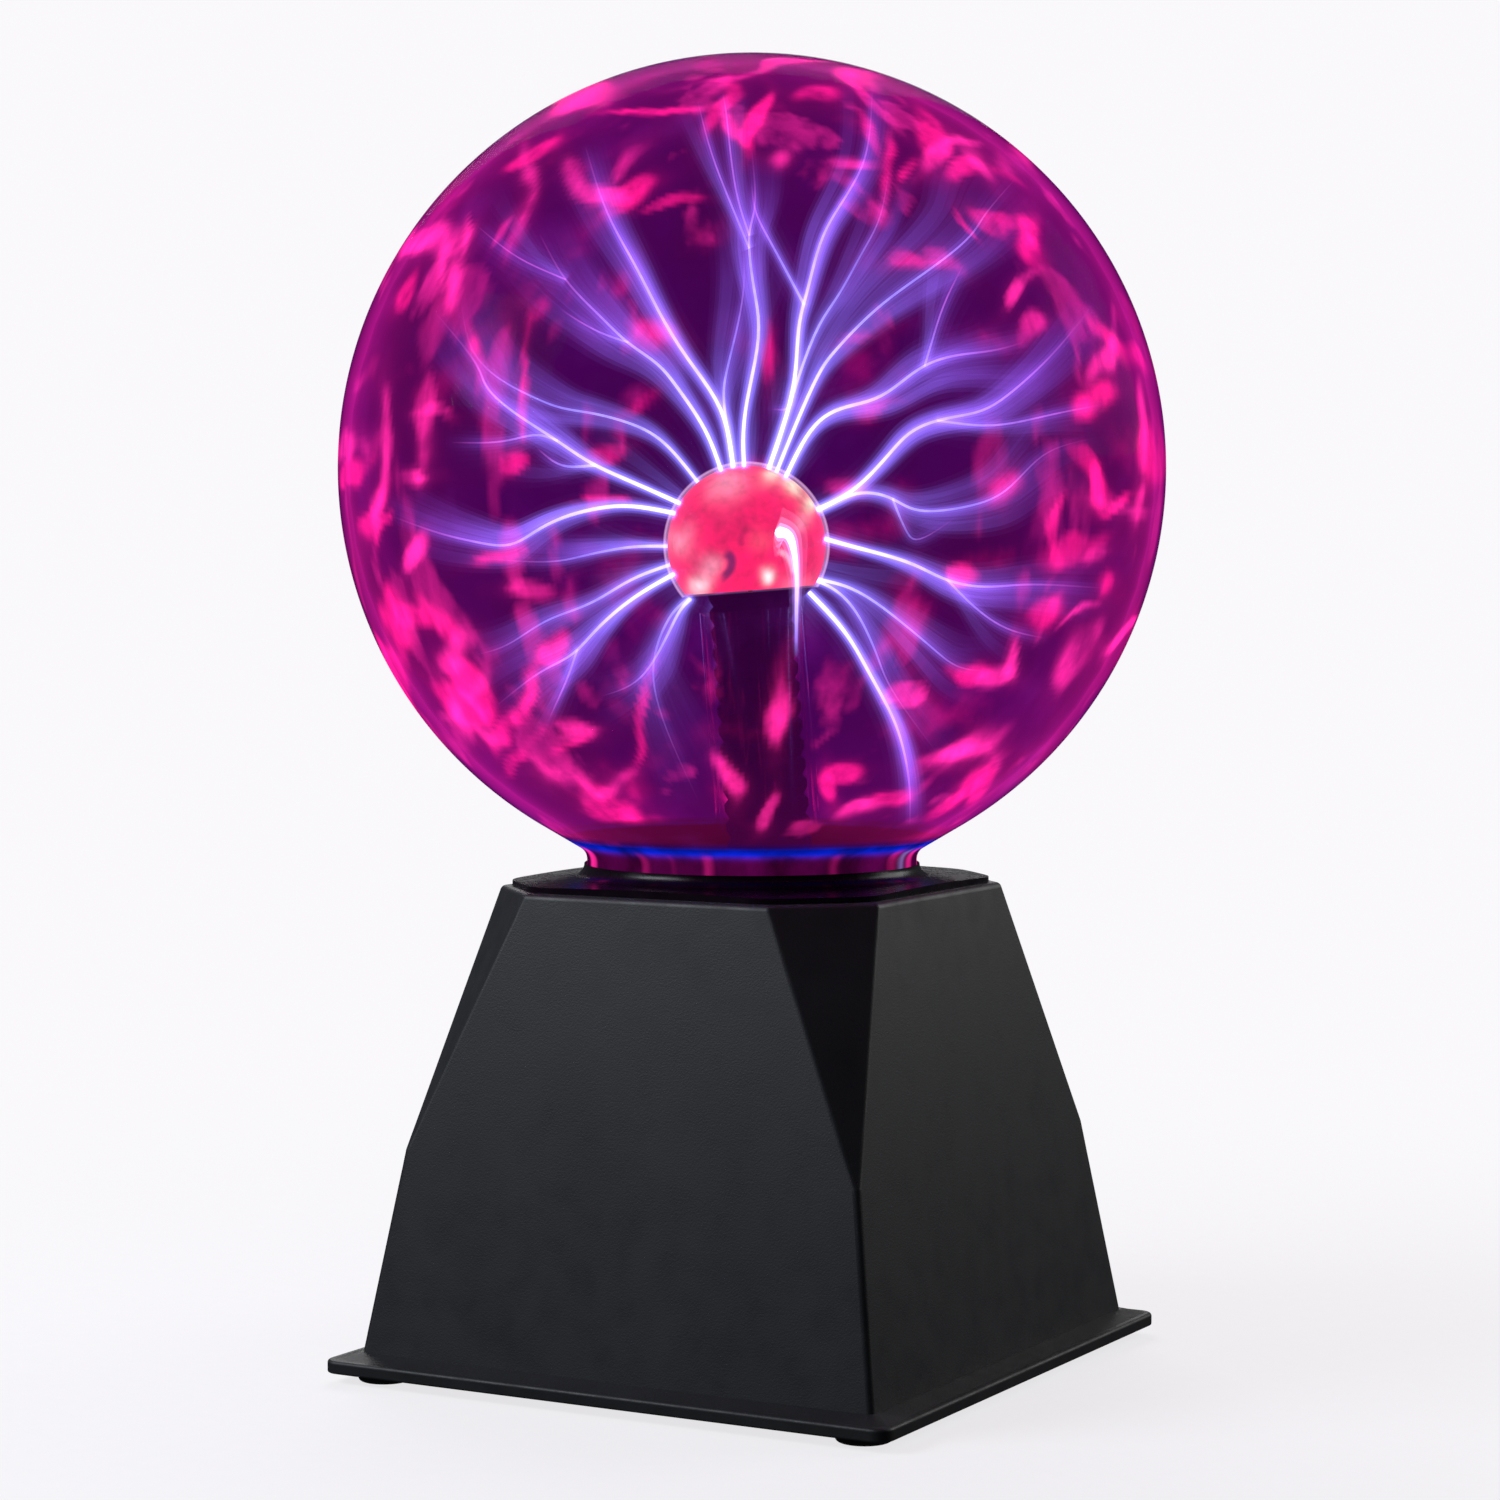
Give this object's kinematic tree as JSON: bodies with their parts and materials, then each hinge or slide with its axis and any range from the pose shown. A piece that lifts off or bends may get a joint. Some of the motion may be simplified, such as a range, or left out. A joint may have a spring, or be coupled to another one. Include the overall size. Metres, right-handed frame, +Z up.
{
  "type": "plasma ball",
  "caption": "Mains-adapter plasma ball: clear gas-filled glass globe with a glowing centre electrode on a black tapered base.",
  "frame": {"origin": "on the table under the globe's axis, at the bottom of the feet", "axes": "+Z up along the globe's axis, -Y out of the wide front face, +Y out of the rear face with the switch and the power socket"},
  "size_m": [0.2, 0.2, 0.3165],
  "materials": {
    "housing_plastic": "fine satin moulding grain",
    "base_plastic": "fine satin moulding grain",
    "gloss_black": "polished",
    "globe_glass": "clear blown glass",
    "stem_glass": "clear blown glass",
    "electrode_glass": "clear blown glass over a dark lining, glowing when lit",
    "lining_foil": "crumpled foil",
    "sleeve_plastic": "ribbed moulding",
    "lead_rubber": "silicone insulation",
    "tinned_copper": "tinned",
    "foot_rubber": "matt",
    "screw_steel": "zinc plated",
    "board_green": "solder mask",
    "ferrite": "ground ferrite",
    "potting_resin": "cast resin",
    "copper_winding": "enamelled wire",
    "sink_aluminium": "extruded",
    "component_black": "moulded epoxy",
    "capacitor_sleeve": "shrink sleeve",
    "film_yellow": "dipped epoxy",
    "resistor_body": "lacquered",
    "switch_plastic": "moulded",
    "rocker_plastic": "moulded",
    "discharge": "luminous gas"
  },
  "bodies": {
    "ball": {"rubber_feet": "foot_rubber", "base_plate": "base_plastic", "base_screws": "screw_steel", "housing": "housing_plastic", "neck_cap": "gloss_black", "globe_glass": "globe_glass", "stem_glass": "stem_glass", "exhaust_tip": "stem_glass", "electrode_bulb": "electrode_glass", "electrode_lining": "lining_foil", "stem_sleeve": "sleeve_plastic", "high_voltage_lead": "lead_rubber", "contact_wire": "tinned_copper", "neck_gasket": "foot_rubber", "neck_pad": "foot_rubber", "neck_cradle": "base_plastic", "neck_screws": "screw_steel", "circuit_board": "board_green", "board_screws": "screw_steel", "transformer_core": "ferrite", "transformer_saddle": "sleeve_plastic", "secondary_coil": "potting_resin", "primary_coil": "copper_winding", "heat_sink": "sink_aluminium", "power_transistor": "component_black", "transistor_screw": "screw_steel", "electrolytic_capacitors": "capacitor_sleeve", "film_capacitors": "film_yellow", "control_chip": "component_black", "resistors": "resistor_body", "microphone": "sink_aluminium", "switch_body": "switch_plastic", "switch_terminals": "tinned_copper", "power_socket": "switch_plastic", "socket_pin": "tinned_copper", "socket_nut": "screw_steel", "socket_terminals": "tinned_copper", "switch_leads": "lead_rubber", "socket_leads": "lead_rubber"},
    "rocker": {"switch_rocker": "rocker_plastic"}
  },
  "joints": [
    {"name": "rocker_tilt", "type": "hinge", "parent": "ball", "child": "rocker", "pos_m": [0.022, 0.06206, 0.0337], "axis": [1, 0, 0], "range_deg": [0, 20]}
  ]
}
